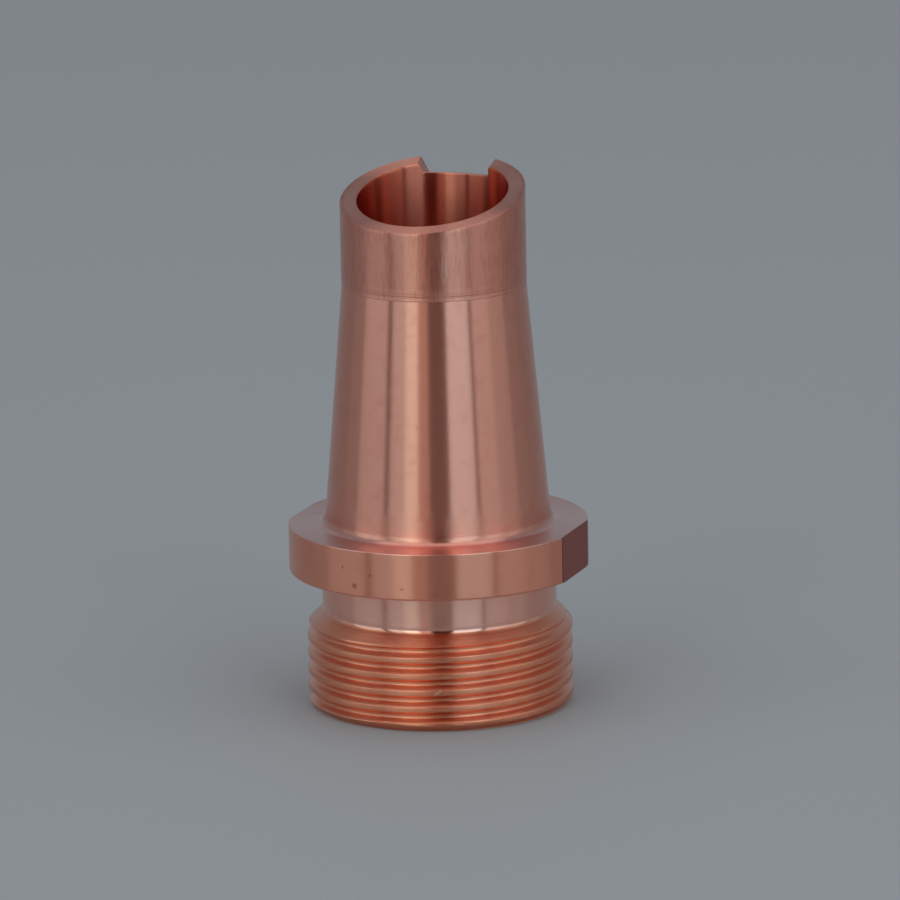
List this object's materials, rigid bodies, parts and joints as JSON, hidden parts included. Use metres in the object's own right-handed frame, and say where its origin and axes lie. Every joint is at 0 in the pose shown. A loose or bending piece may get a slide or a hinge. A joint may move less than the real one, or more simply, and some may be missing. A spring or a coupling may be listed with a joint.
{
  "type": "laser welding nozzle",
  "caption": "One-piece turned copper nozzle that guides a laser beam and shielding gas to a weld, with a threaded shank, a flange with wrench flats and a slanted tip with a wire notch.",
  "frame": {"origin": "centre of the flat base face at the threaded end, on the bore axis", "axes": "+Z along the bore axis to the tip, +Y to the high side of the rim with the wire notch, the two wrench flats face +X and -X"},
  "size_m": [0.0172, 0.0178, 0.0321],
  "materials": {
    "copper": "fine turned bare copper"
  },
  "bodies": {
    "root": {"nozzle_body": "copper"}
  },
  "joints": []
}
